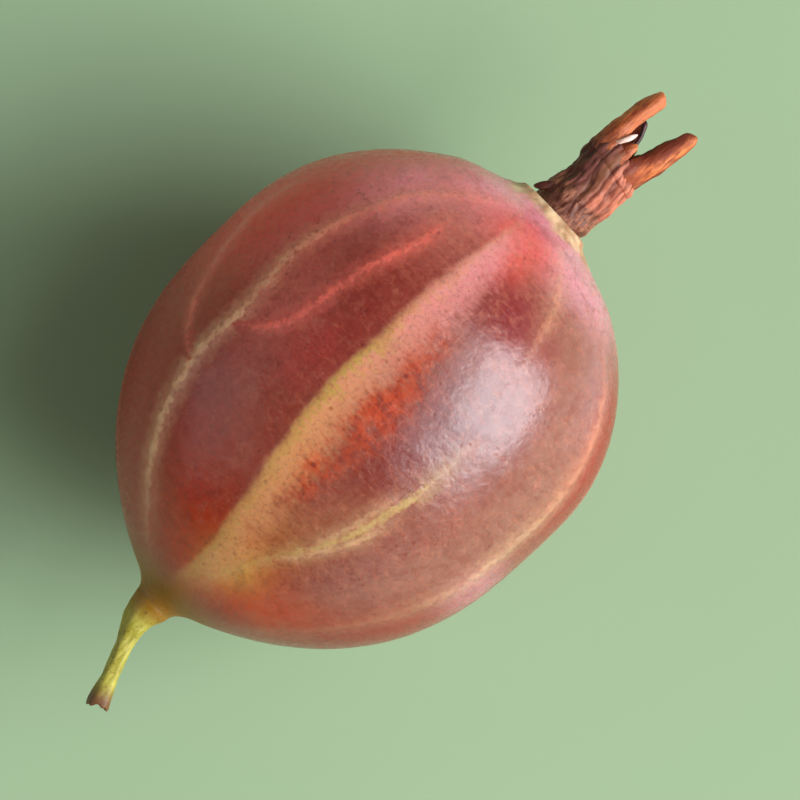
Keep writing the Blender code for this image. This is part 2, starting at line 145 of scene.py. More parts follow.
# The broad band on top and its half widths in mm. It has a crisp golden edge on one side, which turns
# green where it is brightest, and melts away on the other.
BAND = (
    (0, 14), (0.12, 8), (0.19, 4.6), (0.28, 0.6), (0.4, -2.8), (0.5, -4.4), (0.6, -4.2),
    (0.7, -4.0), (0.8, -4.2), (0.88, -5.2), (1, -6),
)
BAND_HALF_WIDTHS = ((0, 0.66), (0.5, 0.62), (0.75, 0.68), (0.92, 0.4), (1, 0.4))
BAND_RISES, BAND_ENDS = (0.03, 0.13), (0.84, 0.97)
GILT_DIMS = (0.55, 0.75)
GREENEST_X, GREEN_REACH = 0.6 * MM, 2.6 * MM

# Washes of colour in the skin, as patches of (x in mm, azimuth, reach along the berry in mm, reach
# across in mm, strength). The veils are laid on once more over the finer marks.
WASHES = {
    "rust": ((-4.2, -24, 3.8, 3.6, 0.95), (-4, 130, 5, 4, 0.8), (3, -135, 5, 4, 0.7)),
    "brick": ((3.2, -19, 4.6, 2.4, 0.9), (4, 140, 4, 3, 0.7), (1, -112, 4, 2, 0.6)),
    # The umber patch is a dark blotch, deepened as painted shade over the key halo's reflection there.
    "umber": ((0.2, 14.5, 2.8, 1.6, 0.9), (-2, 96, 4, 2, 0.5)),
    "tan": ((-6.0, 13, 2.0, 1.4, 0.8), (-4.2, 22, 2.4, 1.4, 0.3)),
    "rose": ((7.4, -30, 2.6, 2.4, 0.6), (0.6, -36, 3.0, 1.4, 0.85), (-1, 172, 5, 4, 0.7)),
    # The mauve patch lies under the key light's highlight: its darker bluish tone is painted highlight
    # tint that makes the highlight read lilac-white.
    "mauve": ((3.6, 24, 3.2, 2.4, 0.85),),
    "wine": ((6.6, 16, 2.2, 2.4, 0.9), (-5, -150, 4, 3, 0.6)),
    "haze": ((3.4, 54, 5.0, 2.0, 0.7), (-4.2, 44, 3.4, 2.4, 0.75), (7.6, 58, 2.8, 3.0, 0.5)),
    "bloom": ((7.2, 60, 3.0, 1.8, 0.7), (9.6, 46, 1.4, 3.0, 0.5)),
    "ember": (
        (-8.4, -22, 2.8, 4.4, 0.95), (-9.4, 22, 1.8, 5.0, 0.9), (-8.4, 52, 2.2, 3.0, 0.7),
        (-9.6, 130, 2.4, 9, 0.8), (-7.2, -38, 2.8, 2.6, 0.85),
    ),
    # The red, oxblood and maroon washes at the sides are partly the skin's own deep red and partly
    # painted light: painted shade and painted red bounce light, which also cover the floor's green
    # reflection there.
    "red": ((3.4, -76, 5.0, 4.2, 1.0), (7.5, -84, 3.0, 3.0, 0.8), (3, -110, 6, 3, 0.6)),
    "oxblood": ((-6.2, -68, 6.0, 4.6, 1.0), (-3, -105, 7, 3, 0.8), (-9.9, -60, 1.2, 3.6, 0.7)),
    "maroon": (
        (-6.8, 79, 4.4, 3.2, 1.0), (5.4, 81, 4.8, 2.2, 1.0), (-1, 106, 4, 1.6, 0.8),
        (-9.9, 62, 1.2, 3.0, 0.7),
    ),
    "pink": (
        (9.8, -44, 1.9, 3.8, 0.9), (7.2, -54, 3.0, 2.0, 0.9), (3.0, -51, 2.4, 0.9, 0.4),
        (10, 180, 1.6, 6, 0.8),
    ),
    "lilac": (
        (10.2, 46, 1.4, 5.0, 0.75), (10.2, -28, 1.0, 2.6, 0.55), (6.8, -41, 3.6, 1.4, 0.3),
        (7.6, -60, 2.2, 1.6, 0.45), (-1.7, 75, 1.6, 1.9, 0.5),
    ),
    "coral": (
        (9.2, -4, 1.6, 1.7, 0.88), (8.0, -1, 1.4, 1.0, 0.5), (0.2, -20, 1.8, 1.4, 0.3),
        (9.0, 100, 2, 1.5, 0.6),
    ),
    "gold": ((-7.8, 11, 1.8, 1.3, 0.9),),
    "olive": ((-11.2, 0, 1.1, 6.0, 1.0), (-11.2, 180, 1.1, 6.0, 1.0)),
}
# The veils lay the side reds on again, with their painted shade and painted red bounce light, and the
# olive at the neck.
VEILS = {"red": 0.95, "oxblood": 0.95, "maroon": 0.95, "olive": 1.0}
BLOTCH_PATCHES = (
    (-3.0, 3.6, 1.6, 0.9, 1.0), (0.6, 4.4, 2.6, 1.1, 0.9), (3.4, 1.0, 1.6, 0.8, 0.55),
    (-1, 104, 3, 1, 0.6),
)

# Colours as sRGB from 0 to 255
SKIN_COLOURS = {
    "flesh": (141, 85, 68), "warm_flesh": (141, 81, 67),
    "rust": (156, 50, 16), "brick": (150, 54, 42), "umber": (118, 26, 2), "tan": (174, 114, 66),
    "rose": (206, 112, 100), "mauve": (120, 78, 86), "wine": (130, 42, 46), "haze": (152, 104, 90),
    "bloom": (156, 108, 116), "ember": (212, 62, 0), "red": (240, 4, 4), "oxblood": (168, 4, 2),
    "maroon": (150, 6, 8), "pink": (248, 136, 150), "lilac": (232, 158, 176),
    "coral": (214, 70, 64), "gold": (230, 162, 72), "olive": (150, 104, 10),
    "blotch": (194, 76, 40), "dark_blotch": (138, 40, 20),
    "dark_mottle": (124, 36, 26), "pale_mottle": (196, 120, 98), "thread": (112, 36, 28),
    "web": (228, 140, 108), "pale_spot": (224, 150, 120), "dot": (116, 20, 14),
    "grain": (112, 30, 26), "cream": (224, 188, 148), "dark_cream": (166, 126, 92),
    "band_tan": (238, 172, 114), "band_pink": (228, 148, 148), "band_gold": (222, 168, 96),
    "band_green": (206, 172, 88), "vein_green": (206, 186, 118), "vein_cream": (255, 220, 172),
    "vein_pink": (246, 120, 104),
}
STALK_COLOURS = {
    "green": (150, 142, 36), "yellow": (190, 184, 80), "root": (150, 106, 12),
    "tip": (112, 74, 40), "dot": (96, 60, 24),
}
# The wall's salmon is painted light on the side that faces the key light, and its dark ground is
# painted shade on the side turned away.
TUBE_COLOURS = {
    "dark": (72, 24, 18), "brown": (120, 66, 52), "mauve": (158, 98, 88), "olive": (158, 104, 70),
    "warm": (148, 76, 52), "lit_salmon": (204, 122, 94), "foot": (92, 44, 30),
    "foot_stripe": (160, 106, 80), "blot": (104, 50, 34), "crease_shade": (64, 22, 14),
    "grain": (74, 32, 22),
}
# A painted highlight runs along each sepal's crest, and painted light lies along one of its edges.
SEPAL_COLOURS = {
    "brown": (130, 46, 18), "orange": (208, 108, 50), "root": (150, 76, 48), "tip": (206, 112, 62),
    "crest_highlight": (228, 148, 88), "lit_edge": (208, 122, 78), "shade": (96, 24, 10),
    "blot": (132, 52, 22), "grain": (104, 38, 20),
}
FLOOR_COLOURS = {"green": (152, 181, 144), "pale_green": (156, 185, 148)}

# The stalk, from the neck's mouth
STALK_ROOT_RADIUS = 0.845 * MM
STALK_ROOT_DEPTH = 1.2 * MM
STALK_LENGTH = 4.48 * MM
STALK_TURN = 21.6
STALK_DROOP = 13.0
STALK_BEND_LENGTH = 1.4 * MM
STALK_WAIST = 0.34 * MM
STALK_TIP_RADIUS = 0.46 * MM
STALK_FLARE = (-0.1 * MM, 2.2 * MM)
STALK_RIBS = 5
STALK_RIB_DEPTH = 0.05
STALK_LUMPS = (0.06, 0.45 * MM)
STALK_COLUMNS = 44
STALK_RINGS = 90

# The dried flower, in millimetres along its own axis from its pivot in the collar. Its tube's
# middle line wanders sideways, as (place, how far).
FLOWER_PIVOT_X = COLLAR_X + 0.07 * MM
FLOWER_LEAN = 7.7
TUBE_COLUMNS = 170
TUBE_STEP = 0.055
TUBE_OUTSIDE = (
    (-0.6, 1.15), (-0.2, 1.22), (0.15, 1.26), (0.45, 1.31), (0.8, 1.28), (1.4, 1.24), (1.9, 1.25),
    (2.3, 1.3), (2.55, 1.31), (2.75, 1.24), (2.92, 1.14),
)
TUBE_LIP = (2.95, 1.11)
TUBE_INSIDE = ((2.9, 1.05), (2.6, 0.98), (2.0, 0.94), (1.3, 0.9))
TUBE_FLOOR = (1.3, 0.4)
TUBE_SHIFT = (
    (-0.6, -0.1), (0.3, -0.1), (0.73, -0.05), (1.5, -0.07), (2.2, 0.08), (2.7, 0.16), (3.2, 0.14),
    (4.2, 0),
)
WALL_RADIUS = 1.3
FOLD_DEPTH, FOLD_SIZE = 0.11, 0.62
CRINKLE_DEPTH, CRINKLE_SIZE = 0.035, 0.2
FOOT_TEAR, FOOT_TEAR_SIZE = 0.24, 0.3
FLAKE = ((0.5, 0.95, 0.7), (0.15, 1.16, 0.66), (-0.14, 1.36, 0.5))

# The torn sleeve round the tube's mouth, where the sepals begin: its rim as (azimuth, place)
SLEEVE_START, SLEEVE_END = 2.42, 3.3
SLEEVE_RIM = (
    (-180, 3.25), (-130, 3.2), (-95, 3.4), (-60, 3.55), (-20, 3.6), (8, 3.42), (30, 3.08),
    (60, 2.98), (90, 3.0), (112, 3.15), (150, 3.15), (180, 3.25),
)
SLEEVE_TEAR, SLEEVE_TEAR_SIZE = 0.09, 0.3
SLEEVE_THICKNESS = 0.1
SLEEVE_OUTER_RINGS, SLEEVE_INNER_RINGS = 16, 10

# Each sepal: azimuth, twist in degrees, and (place, how far its crest stands out, bend radius, half
# width of the flat sheet) along it
SEPALS = (
    (-60, -6, (
        (2.7, 1.3, 1.26, 0.9), (3.4, 1.56, 0.8, 0.85), (4.2, 1.74, 0.45, 0.84),
        (5.3, 1.78, 0.41, 0.78), (6.13, 1.66, 0.37, 0.7),
    )),
    (-12, 10, (
        (2.7, 1.26, 1.2, 0.6), (3.3, 1.3, 0.6, 0.42), (3.8, 1.24, 0.3, 0.32), (4.1, 1.16, 0.22, 0.26),
    )),
    (52, 4, (
        (2.7, 1.2, 1.16, 1.0), (3.2, 1.3, 0.85, 1.02), (4.0, 1.34, 0.54, 1.04),
        (4.9, 1.34, 0.48, 0.96), (5.6, 1.33, 0.37, 0.74), (6.17, 1.24, 0.3, 0.56),
    )),
    (124, -8, (
        (2.7, 1.26, 1.2, 0.85), (3.4, 1.32, 0.8, 0.85), (4.5, 1.32, 0.46, 0.8), (5.6, 1.3, 0.34, 0.6),
    )),
    (226, 10, (
        (2.7, 1.26, 1.2, 0.85), (3.4, 1.46, 0.8, 0.8), (4.2, 1.6, 0.46, 0.74), (5.0, 1.6, 0.36, 0.6),
    )),
)
SEPAL_THICKNESS = 0.11
SEPAL_CREASE, SEPAL_CREASE_SIZE = 0.07, 0.24
SEPAL_BLUNT_END = 0.36
SEPAL_ACROSS = 22
SEPAL_RINGS = 60

# Withered parts inside the flower: the button that they grow from, stamens as (reach, how far out
# their tips stand), the petals' reach, and the hooked stamen and the crescent petal that show best
HEART_ROOT = 1.7
BUTTON_RADIUS, BUTTON_HALF_HEIGHT = 0.72, 0.35
BUTTON_LUMP, BUTTON_LUMP_SIZE = 0.03, 0.3
STAMENS = ((3.9, 0.4), (3.7, 0.4), (3.85, 0.4), (4.0, 0.4))
PETALS = (3.8, 3.7, 3.8, 3.9)
HOOK = (
    (HEART_ROOT, 0.24, 0.3), (3.4, 0.22, 0.5), (3.95, 0.3, 0.62), (4.35, 0.42, 0.64),
    (4.6, 0.58, 0.62), (4.93, 0.84, 0.56),
)
CRESCENT = (
    (HEART_ROOT, 0.5, 0.3), (3.3, 0.8, 1.02), (3.62, 0.76, 1.18), (3.95, 0.66, 1.16),
    (4.34, 0.58, 0.95),
)
STYLE_REACH = 4.0

# The surface, and the lights as (direction from the berry, distance, width and height, watts,
# colour, roll in degrees)
FLOOR_HALF = 3.0
KEY_ROLL = -17
FILL_DIRECTION = (-0.597, 0.673, 0.438)
LIGHTS = {
    "key": ((0.415, -0.745, 0.523), 0.6, (0.56, 0.46), 5.2, (1.0, 0.99, 0.99), KEY_ROLL),
    "key_halo": ((0.41, -0.63, 0.66), 0.61, (0.66, 0.64), 2.8, (0.98, 0.97, 1.0), KEY_ROLL),
    "fill": (FILL_DIRECTION, 0.8, (0.58, 0.58), 0.62, (1.0, 0.97, 0.88), 0),
    "fill_halo": (FILL_DIRECTION, 0.81, (0.9, 0.9), 0.62, (1.0, 0.95, 0.9), 0),
}
SKY_COLOUR = (1.0, 0.95, 0.9, 1.0)
SKY_STRENGTH = 0.13

# The view: its turn in degrees, its middle to the right of and above the rest spot, and its width
VIEW_TURN = -43.6
VIEW_MIDDLE = (0.9 * MM, -0.4 * MM)
VIEW_WIDTH = 31.5 * MM
LENS = 450
SENSOR = 36


def ease(low, high, value):
    """0 below low, 1 above high and a smooth rise between them, for numbers and arrays."""
    share = np.clip((value - low) / (high - low), 0.0, 1.0)
    return share * share * (3 - 2 * share)


def blend(low, high, share):
    return low + (high - low) * share


def along(points, place):
    """A smooth curve's height at a place, through (place, height) points."""
    count = len(points)
    after = next((i for i in range(1, count) if points[i][0] >= place), count - 1)
    before = after - 1
    slopes = []
    for i in (before, after):
        first, last = points[max(i - 1, 0)], points[min(i + 1, count - 1)]
        slopes.append((last[1] - first[1]) / (last[0] - first[0]))
    span = points[after][0] - points[before][0]
    share = (place - points[before][0]) / span
    leave = share * (1 - share) ** 2 * span * slopes[0]
    arrive = share * share * (share - 1) * span * slopes[1]
    return blend(points[before][1], points[after][1], ease(0, 1, share)) + leave + arrive


def traced(points, places):
    """The same curve's heights at many places."""
    return np.array([along(points, place) for place in places])


def wobble(at, row, layer):
    """Smooth noise from about -1 to 1 at numbers along a line, of which each row has its own."""
    return np.array([noise.noise(Vector((number, row, layer))) for number in at])


def linear(colour):
    """A scene-linear colour of an sRGB one given from 0 to 255."""
    parts = [c / 255 for c in colour]
    return [c / 12.92 if c <= 0.04045 else ((c + 0.055) / 1.055) ** 2.4 for c in parts] + [1.0]


def rough_field(points, size, seed=0.0, octaves=2):
    """Smooth noise from about -1 to 1 at an array of points, with lumps of a size."""
    shape = points.shape[:-1]
    offset = Vector((seed * 7.1, seed * 3.7, seed * 5.3))
    flat = points.reshape(-1, 3) / size
    values = [noise.fractal(Vector(p) + offset, 1.0, 2.0, octaves) for p in flat.tolist()]
    return np.array(values).reshape(shape)


def lumps(points, relief, seed=0.0):
    """Heights of a lumpy relief, given as (height, size), at points."""
    height, size = relief
    return height * rough_field(points, size, seed)


def polar(x, radius, azimuth):
    """Points at distances from the long axis, at azimuths in degrees."""
    angle = np.radians(azimuth)
    x, radius, angle = np.broadcast_arrays(x, radius, angle)
    return np.stack([x, -radius * np.sin(angle), radius * np.cos(angle)], axis=-1)


def placed(name, data):
    """A new object, in the scene."""
    thing = bpy.data.objects.new(name, data)
    scene.collection.objects.link(thing)
    return thing


def shown_piece(name, vertices, faces, masks, net, node, material):
    """A piece that stands for a node, with masks over its net (and at its two ends) as attributes."""
    mesh = bpy.data.meshes.new(name)
    mesh.from_pydata(vertices.tolist(), [], faces)
    for mask, values in masks.items():
        attribute = mesh.attributes.new(mask, "FLOAT", "POINT")
        values = np.broadcast_to(values, net)
        ends = [values[0].mean(), values[-1].mean()][: len(vertices) - values.size]
        attribute.data.foreach_set("value", np.concatenate([values.ravel(), ends]).astype(np.float32))
    mesh.shade_smooth()
    mesh.materials.append(material)
    piece = placed(name, mesh)
    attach(piece, "root")
    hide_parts(node)


def closed_piece(name, points, masks, node, material):
    """A shown piece from rings of points, closed round and at both ends."""
    rings, columns = points.shape[:2]
    centres = np.stack([points[0].mean(axis=0), points[-1].mean(axis=0)])
    index = np.arange(rings * columns).reshape(rings, columns)
    beside = np.roll(index, -1, axis=1)
    quads = np.stack([index[:-1], beside[:-1], beside[1:], index[1:]], axis=-1).reshape(-1, 4)
    first, last = rings * columns, rings * columns + 1
    start = np.stack([np.full(columns, first), beside[0], index[0]], axis=-1)
    end = np.stack([np.full(columns, last), index[-1], beside[-1]], axis=-1)
    vertices = np.concatenate([points.reshape(-1, 3), centres])
    faces = quads.tolist() + start.tolist() + end.tolist()
    shown_piece(name, vertices, faces, masks, (rings, columns), node, material)


class Look:
    """A material's node tree, with short ways to add to it, and the colour that it has so far. Where
    a number can stand, so can another node's output or the name of a mask."""

    def __init__(self, name, colours):
        self.material = bpy.data.materials.new(name)
        self.material.use_nodes = True
        self.tree = self.material.node_tree
        self.shader = self.tree.nodes["Principled BSDF"]
        self.colours = {title: linear(colour) for title, colour in colours.items()}
        self.colour = None
        place = self.add("TexCoord", {}, "Object")
        self.millimetres = self.add("VectorMath", {0: place, "Scale": 1 / MM}, 0, operation="SCALE")

    def add(self, kind, inputs, output, **settings):
        """An output of a new node."""
        node = self.tree.nodes.new("ShaderNode" + kind)
        for name, value in settings.items():
            setattr(node, name, value)
        for name, value in inputs.items():
            self.put(node.inputs[name], value)
        return node.outputs[output]

    def put(self, socket, value):
        if isinstance(value, str):
            value = self.add("Attribute", {}, "Fac", attribute_name=value)
        if isinstance(value, bpy.types.NodeSocket):
            self.tree.links.new(value, socket)
        else:
            socket.default_value = value

    def set(self, **values):
        for name, value in values.items():
            self.put(self.shader.inputs[name.replace("_", " ")], value)

    def noise(self, scale, detail=2.0, roughness=0.5, distortion=0.0, stretch=(1, 1, 1)):
        """Noise from 0 to 1 with scale lumps a millimetre."""
        place = self.add("Mapping", {"Vector": self.millimetres, "Scale": stretch}, "Vector")
        lumpy = {"Scale": scale, "Detail": detail, "Roughness": roughness, "Distortion": distortion}
        return self.add("TexNoise", {"Vector": place, **lumpy}, "Fac")

    def cells(self, scale):
        """The distance to the nearest of scale points a millimetre."""
        return self.add("TexVoronoi", {"Vector": self.millimetres, "Scale": scale}, "Distance")

    def fitted(self, value, low, high, to_low=0.0, to_high=1.0):
        """A smooth step of a value from to_low, at low, to to_high, at high."""
        step = {"From Min": low, "From Max": high, "To Min": to_low, "To Max": to_high}
        return self.add("MapRange", {"Value": value, **step}, "Result", interpolation_type="SMOOTHSTEP")

    def maths(self, operation, first, second):
        return self.add("Math", {0: first, 1: second}, 0, operation=operation)

    def times(self, first, second):
        return self.maths("MULTIPLY", first, second)

    def plus(self, first, second):
        return self.maths("ADD", first, second)

    def mixed(self, share, low, high):
        """A colour between two, which are named or made by nodes."""
        low, high = (self.colours[c] if isinstance(c, str) else c for c in (low, high))
        return self.add("Mix", {"Factor": share, 6: low, 7: high}, 2, data_type="RGBA")

    def wash(self, share, colour):
        """Lays a colour over the one so far."""
        self.colour = self.mixed(share, self.colour, colour)

    def glow(self, weight, radius, scale):
        """Lets light in under the surface, as deep as a radius for red, green and blue says."""
        self.set(Subsurface_Weight=weight, Subsurface_Radius=radius, Subsurface_Scale=scale)

    def bump(self, height, distance, strength):
        inputs = {"Height": height, "Distance": distance, "Strength": strength}
        self.set(Normal=self.add("Bump", inputs, "Normal"))


def skin_radius(x):
    """The berry's radius at a place along its axis."""
    power, bluntness = FLOWER_SIDE if x > WIDEST_X else STALK_SIDE
    reach = math.copysign(HALF_LENGTH, x - WIDEST_X) - WIDEST_X
    return RADIUS * (1 - ((x - WIDEST_X) / reach) ** power) ** bluntness


def spout(start_x, end_x, lip_radius, socket_radius, floor_x):
    """(x, radius) of the rings from the skin, drawn in to a lip at end_x, to a socket's floor."""
    start_radius = skin_radius(start_x)
    back = math.copysign(0.1 * MM, start_x)
    slope = (start_radius - skin_radius(start_x - back)) / back
    lip = (end_x - back - start_x) / (end_x - start_x)
    rings = []
    for ring in range(1, SPOUT_RINGS + 1):
        share = lip * ring / SPOUT_RINGS
        leave = share * (1 - share) ** 2 * slope * (end_x - start_x)
        radius = blend(start_radius, lip_radius, ease(0, 1, share)) + leave
        rings.append((blend(start_x, end_x, share), radius))
    crest_radius = rings[-1][1]
    for turn in (22.5, 45.0, 67.5, 90.0, 135.0):
        angle = math.radians(turn)
        x = end_x - back * (1 - math.sin(angle))
        rings.append((x, blend(socket_radius, crest_radius, 0.5 + 0.5 * math.cos(angle))))
    for share in (0.2, 0.6, 1.0):
        rings.append((blend(end_x - back, floor_x, share), socket_radius))
    return rings + [(floor_x, 0.5 * socket_radius)]


def berry_profile():
    """(x, radius) of each ring, from the floor of the stalk's socket to that of the flower's."""
    stalk_end = spout(BODY_START_X, NECK_X, NECK_RADIUS, NECK_SOCKET, NECK_FLOOR_X)
    flower_end = spout(BODY_END_X, COLLAR_X, COLLAR_RADIUS, COLLAR_SOCKET, COLLAR_FLOOR_X)
    first, last = math.asin(BODY_START_X / HALF_LENGTH), math.asin(BODY_END_X / HALF_LENGTH)
    body = []
    for ring in range(BODY_RINGS):
        x = math.sin(blend(first, last, ring / (BODY_RINGS - 1))) * HALF_LENGTH
        body.append((x, skin_radius(x)))
    return stalk_end[::-1] + body + flower_end


def away(azimuths, centres, radii):
    """Millimetres over the skin from centre lines, given as an azimuth for each ring."""
    turn = (azimuths - centres[:, None] + 180) % 360 - 180
    return np.radians(turn) * radii[:, None] / MM


def vein_masks(places, radii, azimuths):
    """Over the net of rings and columns: the veins' ridge height, the distance to the nearest vein
    in half widths, and that vein's strength and tint."""
    height = np.zeros((len(places), len(azimuths)))
    nearest = np.full_like(height, FAR_FROM_VEIN)
    power = np.zeros_like(height)
    tints = np.zeros_like(height)
    for number, (points, half_width, strength, tint, branches) in enumerate(VEINS):
        strength_here = np.interp(places, *zip(*strength))
        main = traced(points, places) + VEIN_WANDER * wobble(11 * places, number, 0.5)
        whole = np.ones(len(places))
        lines = [(main, whole, RIDGE_HEIGHT, strength_here[:, None], tint, half_width)]
        for leaves, spread, soon, ends, branch_strength in branches:
            opened = 1 - np.exp(-np.maximum(0, places - leaves) / soon)
            opened = opened * (1 - ease(ends - 0.1, 1, places))
            shown = ease(leaves - 0.01, leaves + 0.03, places) * (1 - ease(ends - 0.12, ends, places))
            centres, thin = main + spread * opened, BRANCH_THINNER * half_width
            branch_tint = tint + BRANCH_PINKER
            lines.append((centres, shown, BRANCH_RIDGE_HEIGHT, branch_strength, branch_tint, thin))
        for centres, shown, ridge, line_strength, line_tint, width in lines:
            distance = np.abs(away(azimuths, centres, radii)) / width
            height = np.maximum(height, ridge * shown[:, None] * (1 - ease(0, 1.8, distance)))
            closer = (distance < nearest) & (shown[:, None] > 0.01)
            nearest = np.where(closer, distance, nearest)
            power = np.where(closer, line_strength * shown[:, None], power)
            tints = np.where(closer, line_tint, tints)
    return height, nearest, power, tints


def band_masks(places, radii, azimuths):
    """The broad band's ridge height, the place across it in half widths, and how much it shows."""
    centres = traced(BAND, places)
    half_width = np.interp(places, *zip(*BAND_HALF_WIDTHS))[:, None]
    across = np.clip(away(azimuths, centres, radii) / half_width, -FAR_FROM_VEIN, FAR_FROM_VEIN)
    shown = (ease(*BAND_RISES, places) * (1 - ease(*BAND_ENDS, places)))[:, None]
    ridge = RIDGE_HEIGHT * ease(-1.6, -0.6, across) * (1 - ease(0, 1.8, across)) * shown
    return ridge, across, np.broadcast_to(shown, across.shape)


def patch_mask(points, patches):
    """How strongly washes cover points that are given in the berry's own frame."""
    left = np.ones(points.shape[:-1])
    for x, azimuth, reach_along, reach_across, strength in patches:
        radius = skin_radius(max(BODY_START_X, min(BODY_END_X, x * MM)))
        centre = polar(x * MM, radius, azimuth)
        along_x = (points[..., 0] - centre[0]) / (reach_along * MM)
        across = np.linalg.norm(points[..., 1:] - centre[1:], axis=-1) / (reach_across * MM)
        left = left * (1 - strength * np.exp(-((along_x**2 + across**2) ** 1.3)))
    return 1 - left


def skin_look():
    look = Look("berry_skin", SKIN_COLOURS)
    broad = look.noise(0.25, detail=3.0, roughness=0.55)
    medium = look.noise(0.9, detail=3.0, roughness=0.6)
    fine = look.noise(3.0, detail=3.0, roughness=0.65)
    grain = look.noise(6.5, detail=2.0, roughness=0.7)
    mottle = look.noise(1.3, detail=4.0, roughness=0.7, distortion=0.6)
    fibres = look.noise(0.8, detail=4.0, roughness=0.65, stretch=(3.4, 1.0, 1.0))
    hairs = look.noise(2.6, detail=3.0, roughness=0.6, stretch=(2.6, 0.6, 0.6))
    patchy = look.plus(look.times(hairs, 0.4), look.times(medium, 0.6))

    # The flesh with its washes and blotches
    look.colour = look.mixed(look.fitted(broad, 0.3, 0.7), "flesh", "warm_flesh")
    uneven = look.fitted(medium, 0.3, 0.7, 0.9, 1.08)
    for name in WASHES:
        look.wash(look.times(name, uneven), name)
    ruddy = look.mixed(look.fitted(fine, 0.46, 0.66), "blotch", "dark_blotch")
    look.wash(look.times("blotch", look.fitted(patchy, 0.36, 0.54)), ruddy)

    # Its finer marks, and the veils over them
    wavy = look.noise(0.75, detail=3.0, stretch=(2.4, 0.8, 0.8))
    web = look.maths("ABSOLUTE", look.plus(wavy, -0.5), 0.0)
    look.wash(look.fitted(mottle, 0.5, 0.66, 0.0, 0.3), "dark_mottle")
    look.wash(look.fitted(mottle, 0.34, 0.48, 0.22, 0.0), "pale_mottle")
    look.wash(look.fitted(fibres, 0.52, 0.66, 0.0, 0.2), "thread")
    look.wash(look.fitted(web, 0.0, 0.03, 0.13, 0.0), "web")
    look.wash(look.fitted(look.noise(4.2, detail=1.0), 0.6, 0.74, 0.0, 0.12), "pale_spot")
    # The side reds, partly painted shade and painted red bounce light, and the neck's olive go on
    # again.
    for name, strength in VEILS.items():
        look.wash(look.times(name, strength), name)

    # The band and its gilt edge
    crisp = look.plus("across", look.fitted(medium, 0.3, 0.7, -0.1, 0.1))
    frayed = look.plus("across", look.fitted(hairs, 0.3, 0.7, -0.4, 0.4))
    frayed = look.plus(frayed, look.fitted(medium, 0.3, 0.7, -0.45, 0.45))
    body = look.times(look.fitted(crisp, -1.6, -0.7), look.fitted(frayed, -0.6, 2.2, 1.0, 0.0))
    body = look.times(body, look.times("band", look.fitted(patchy, 0.36, 0.6, 0.66, 0.96)))
    look.wash(body, look.mixed("flowerward", "band_tan", "band_pink"))
    edge = look.times(look.fitted(crisp, -1.5, -0.95), look.fitted(frayed, -0.95, -0.2, 1.0, 0.0))
    gilt = look.times("gilt", look.fitted(medium, 0.3, 0.6, 0.5, 0.95))
    look.wash(look.times(edge, gilt), look.mixed("verdant", "band_gold", "band_green"))

    # The veins, each a bright core with a soft halo
    wavering = look.plus("vein", look.fitted(fine, 0.3, 0.7, -0.5, 0.5))
    core = look.fitted(wavering, 0.15, 1.35, 1.0, 0.0)
    halo = look.fitted(wavering, 0.6, 3.8, 0.45, 0.0)
    vein = look.times(look.maths("MAXIMUM", core, halo), "vein_power")
    vein = look.times(vein, look.fitted(medium, 0.3, 0.6, 0.66, 1.0))
    lit = look.mixed(look.fitted("vein_tint", -1.0, 0.0), "vein_green", "vein_cream")
    look.wash(vein, look.mixed(look.fitted("vein_tint", 0.0, 1.0), lit, "vein_pink"))

    # Dots, grain and the pale collar
    speckled = look.fitted(look.noise(0.7, detail=1.0), 0.4, 0.62, 0.05, 0.4)
    dots = look.times(look.fitted(look.cells(2.3), 0.1, 0.26, 1.0, 0.0), speckled)
    look.wash(dots, "dot")
    look.wash(look.fitted(grain, 0.48, 0.7, 0.0, 0.3), "grain")
    collar = look.mixed(look.fitted(medium, 0.35, 0.65), "cream", "dark_cream")
    look.wash("cream", collar)

    dry = look.times(look.maths("MAXIMUM", "olive", "cream"), 0.3)
    gloss = look.plus(look.fitted(fine, 0.3, 0.7, 0.2, 0.31), dry)
    look.set(Base_Color=look.colour, Roughness=gloss, Specular_IOR_Level=0.65)
    look.glow(0.5, (1.0, 0.3, 0.16), 1.4 * MM)
    relief = look.plus(look.times(medium, 0.5), look.times(fine, 0.3))
    look.bump(look.plus(relief, look.times(dots, -0.2)), 0.08 * MM, 0.6)
    return look.material


